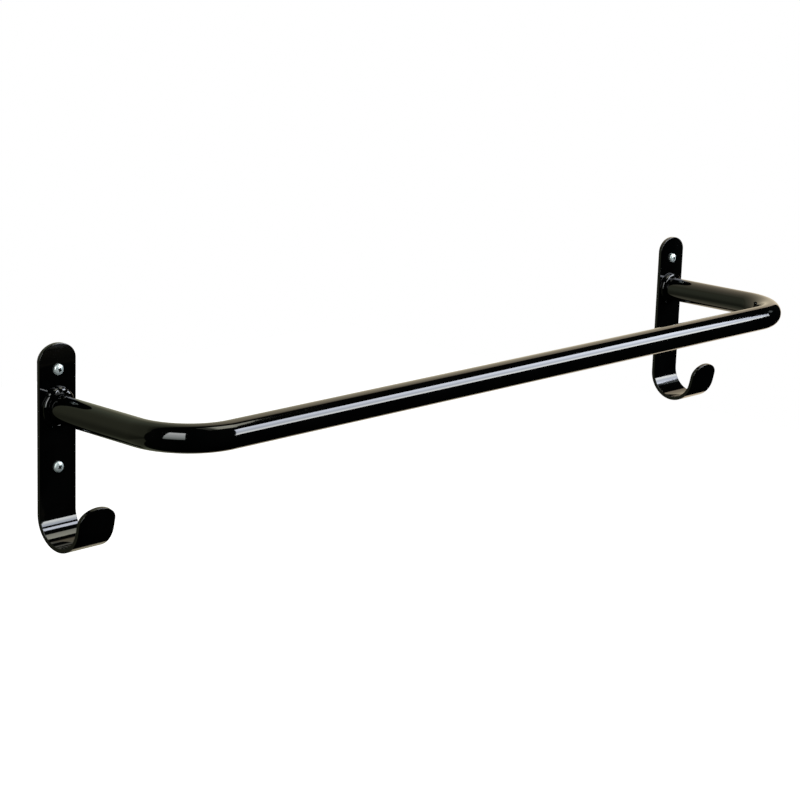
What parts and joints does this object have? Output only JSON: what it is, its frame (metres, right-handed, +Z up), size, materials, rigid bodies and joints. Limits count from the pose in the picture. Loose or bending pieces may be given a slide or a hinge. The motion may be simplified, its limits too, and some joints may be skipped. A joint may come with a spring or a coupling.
{
  "type": "wall-mounted tack rail with bridle hooks",
  "caption": "Wall rail for saddle pads and blankets: a round tube bent into a wide U, welded to flat wall brackets whose lower ends curl into bridle hooks.",
  "frame": {"origin": "on the wall plane, half way between the two brackets, at the height of the tube's axis", "axes": "+X along the wall from the left bracket to the right one, +Y into the wall, +Z up; the rail and the hooks stand out towards -Y"},
  "size_m": [0.9144, 0.1925, 0.1795],
  "materials": {
    "rail_paint": "gloss black paint",
    "bracket_paint": "gloss black paint",
    "bead_paint": "gloss black paint over rippled weld",
    "zinc": "bright zinc plate"
  },
  "bodies": {
    "root": {"rail_tube": "rail_paint", "left_bracket": "bracket_paint", "right_bracket": "bracket_paint", "left_weld_bead": "bead_paint", "right_weld_bead": "bead_paint", "left_upper_screw": "zinc", "left_lower_screw": "zinc", "right_upper_screw": "zinc", "right_lower_screw": "zinc"}
  },
  "joints": []
}
